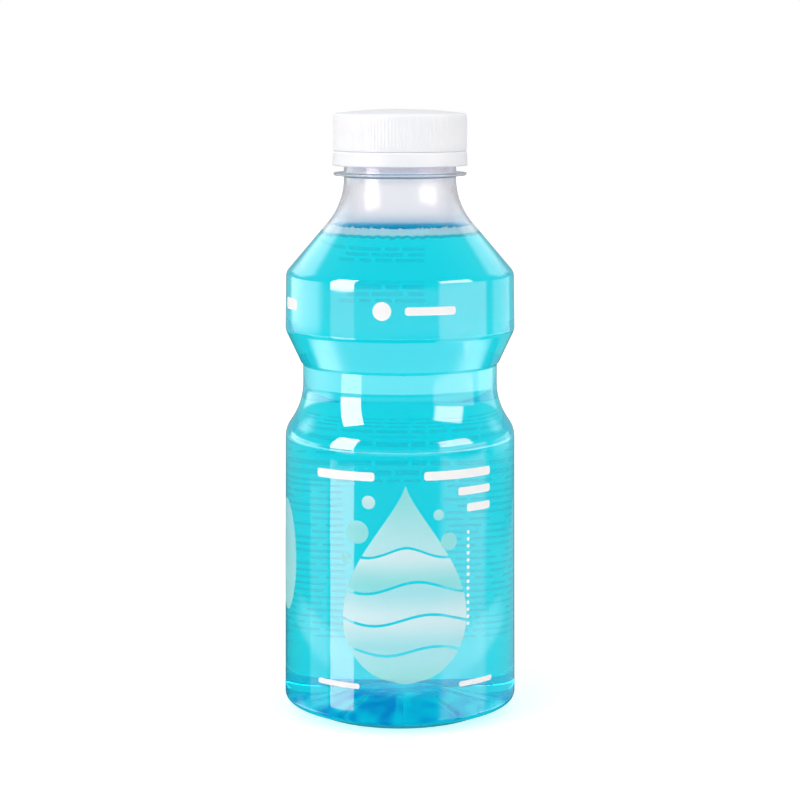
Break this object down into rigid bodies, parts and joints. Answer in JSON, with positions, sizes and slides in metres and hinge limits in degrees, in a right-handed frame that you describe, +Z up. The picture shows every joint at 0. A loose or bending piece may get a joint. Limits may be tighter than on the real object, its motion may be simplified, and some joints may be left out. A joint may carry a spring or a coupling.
{
  "type": "mouthwash bottle",
  "caption": "Clear waisted bottle of blue-green mouthwash with a drum shoulder, film labels, and a ribbed white screw cap over a tamper band.",
  "frame": {"origin": "centre of the base, on the surface that the bottle stands on", "axes": "+Z up along the bottle's axis; the labels' front faces -Y"},
  "size_m": [0.0704, 0.0704, 0.1816],
  "materials": {
    "clear_bottle": "clear glossy PET",
    "liquid": "clear blue-green liquid",
    "body_film": "clear film with pale ink",
    "drum_film": "clear film with white ink",
    "closure": "satin white polypropylene",
    "liner": "foamed white liner"
  },
  "bodies": {
    "bottle_body": {"bottle": "clear_bottle", "mouthwash": "liquid", "body_label": "body_film", "drum_label": "drum_film"},
    "band": {"tamper_band": "closure"},
    "liner": {"cap_liner": "liner"},
    "cap": {"screw_cap": "closure"}
  },
  "joints": [
    {"name": "band_drop", "type": "slide", "parent": "bottle_body", "child": "band", "axis": [0, 0, 1], "range_m": [-0.0018, 0]},
    {"name": "cap_rise", "type": "slide", "parent": "bottle_body", "child": "liner", "axis": [0, 0, 1], "range_m": [0, 0.01441]},
    {"name": "cap_turn", "type": "hinge", "parent": "liner", "child": "cap", "pos_m": [0, 0, 0.175], "axis": [0, 0, 1], "range_deg": [0, 540]}
  ],
  "couplings": [
    {"joint": "cap_rise", "follows": "cap_turn", "m_per_rad": 0.0015279}
  ]
}
